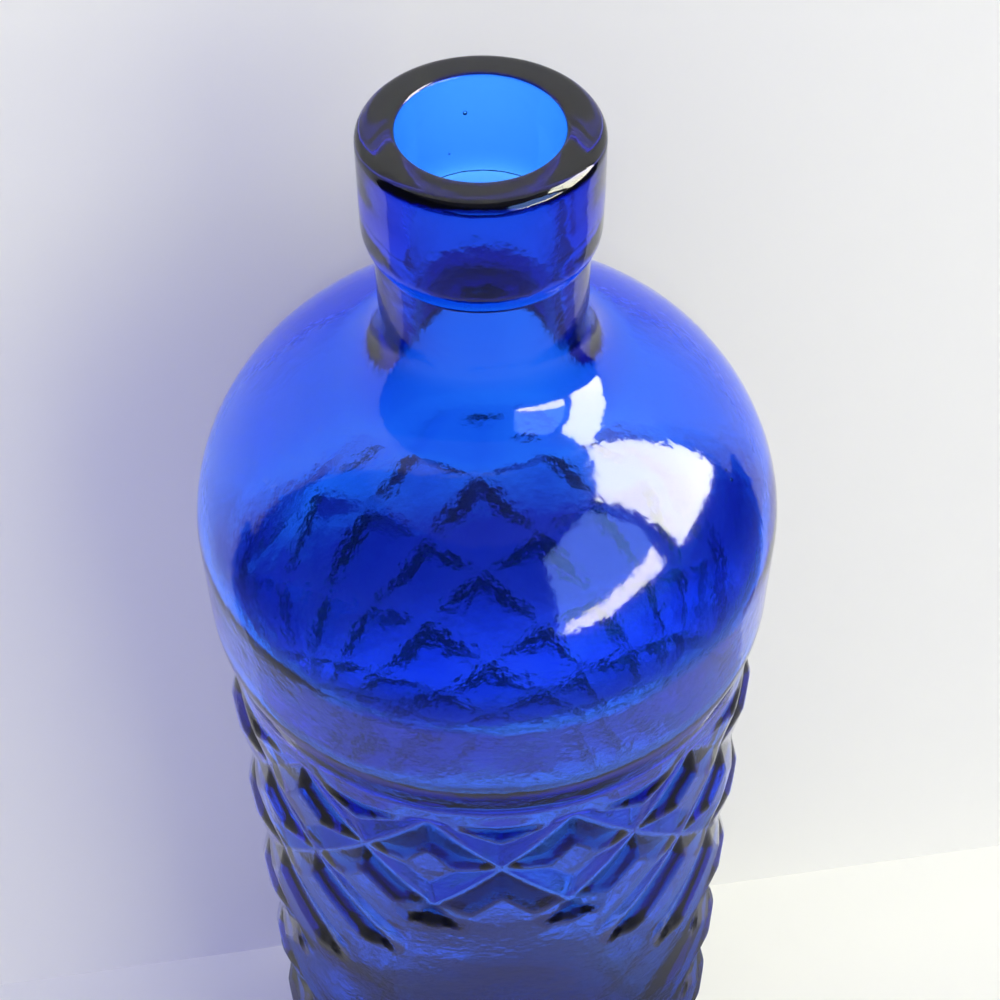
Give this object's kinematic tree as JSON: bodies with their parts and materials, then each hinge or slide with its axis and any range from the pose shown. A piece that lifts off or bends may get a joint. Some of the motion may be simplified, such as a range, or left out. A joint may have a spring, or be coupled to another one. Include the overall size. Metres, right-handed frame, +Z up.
{
  "type": "glass decanter bottle",
  "caption": "Blue glass decanter bottle with a domed shoulder, a cut-style lattice of raised diamond pads round the body, a smooth front panel and a thick collared mouth.",
  "frame": {"origin": "centre of the base, on the surface that the bottle stands on", "axes": "+Z up along the bottle's axis, -Y towards the side with the smooth front panel"},
  "size_m": [0.0816, 0.0816, 0.286],
  "materials": {
    "cobalt_glass": "moulded glass, fire-polished and glossy, deep cobalt blue"
  },
  "bodies": {
    "root": {"glass_bottle": "cobalt_glass"}
  },
  "joints": []
}
